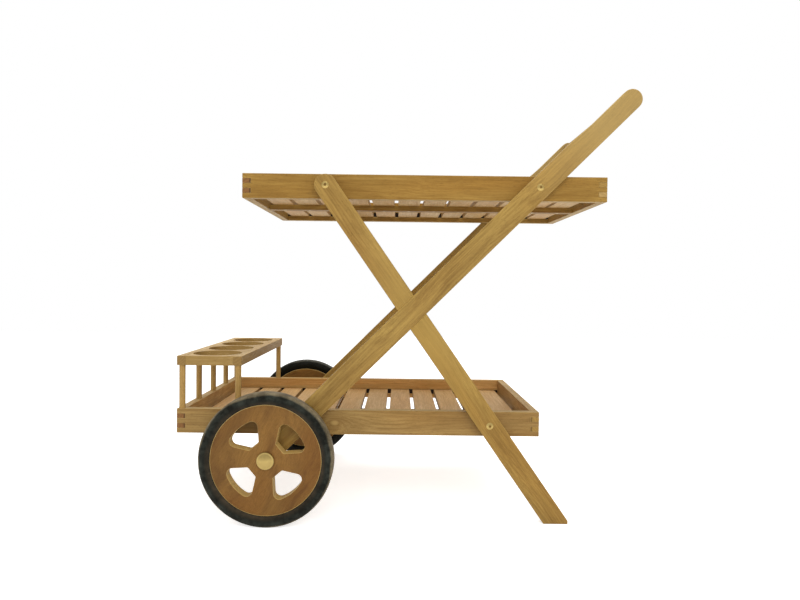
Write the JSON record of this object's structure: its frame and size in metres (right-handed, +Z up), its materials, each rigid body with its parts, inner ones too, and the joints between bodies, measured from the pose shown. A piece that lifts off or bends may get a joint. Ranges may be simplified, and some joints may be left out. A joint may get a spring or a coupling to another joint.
{
  "type": "serving trolley",
  "caption": "Slatted wooden serving trolley with an upper and a lower tray, large wheels at one end, crossed legs and long handle arms, a push bar and a bottle rack.",
  "frame": {"origin": "on the floor, under the middle of the overall length and width", "axes": "+X along the length towards the handle, -Y to the left of the person who pushes it, +Z up"},
  "size_m": [0.9686, 0.5928, 0.9094],
  "materials": {
    "frame_wood": "oiled hardwood, straight grain",
    "wheel_wood": "oiled hardwood, redder",
    "tyre_rubber": "matt solid rubber",
    "brass": "satin brass",
    "steel": "zinc-plated steel"
  },
  "bodies": {
    "frame": {"upper_side_rail_left": "frame_wood", "upper_side_rail_right": "frame_wood", "upper_end_rail_front": "frame_wood", "upper_end_rail_rear": "frame_wood", "upper_batten": "frame_wood", "upper_slat_01": "frame_wood", "upper_slat_02": "frame_wood", "upper_slat_03": "frame_wood", "upper_slat_04": "frame_wood", "upper_slat_05": "frame_wood", "upper_slat_06": "frame_wood", "upper_slat_07": "frame_wood", "upper_slat_08": "frame_wood", "upper_slat_09": "frame_wood", "upper_slat_10": "frame_wood", "upper_slat_11": "frame_wood", "upper_slat_12": "frame_wood", "lower_side_rail_left": "frame_wood", "lower_side_rail_right": "frame_wood", "lower_end_rail_front": "frame_wood", "lower_end_rail_rear": "frame_wood", "lower_batten": "frame_wood", "lower_slat_01": "frame_wood", "lower_slat_02": "frame_wood", "lower_slat_03": "frame_wood", "lower_slat_04": "frame_wood", "lower_slat_05": "frame_wood", "lower_slat_06": "frame_wood", "lower_slat_07": "frame_wood", "lower_slat_08": "frame_wood", "lower_slat_09": "frame_wood", "lower_slat_10": "frame_wood", "lower_slat_11": "frame_wood", "lower_slat_12": "frame_wood", "handle_arm_left": "frame_wood", "handle_arm_right": "frame_wood", "short_leg_left": "frame_wood", "short_leg_right": "frame_wood", "handle_bar": "frame_wood", "rack_front_rail": "frame_wood", "rack_rear_rail": "frame_wood", "rack_cross_piece_01": "frame_wood", "rack_cross_piece_02": "frame_wood", "rack_cross_piece_03": "frame_wood", "rack_cross_piece_04": "frame_wood", "rack_cross_piece_05": "frame_wood", "rack_dowels": "frame_wood", "batten_screws": "brass", "frame_bolts": "brass", "bolt_inserts": "brass", "axle": "steel", "axle_washers": "steel", "hub_cap_left": "brass", "hub_cap_right": "brass"},
    "left_wheel": {"wheel_disc_left": "wheel_wood", "tyre_left": "tyre_rubber", "wheel_bush_left": "brass"},
    "right_wheel": {"wheel_disc_right": "wheel_wood", "tyre_right": "tyre_rubber", "wheel_bush_right": "brass"}
  },
  "joints": [
    {"name": "left_wheel_spin", "type": "hinge", "parent": "frame", "child": "left_wheel", "pos_m": [-0.28292, -0.275, 0.138], "axis": [0, 1, 0], "continuous": true},
    {"name": "right_wheel_spin", "type": "hinge", "parent": "frame", "child": "right_wheel", "pos_m": [-0.28292, 0.275, 0.138], "axis": [0, 1, 0], "continuous": true}
  ]
}
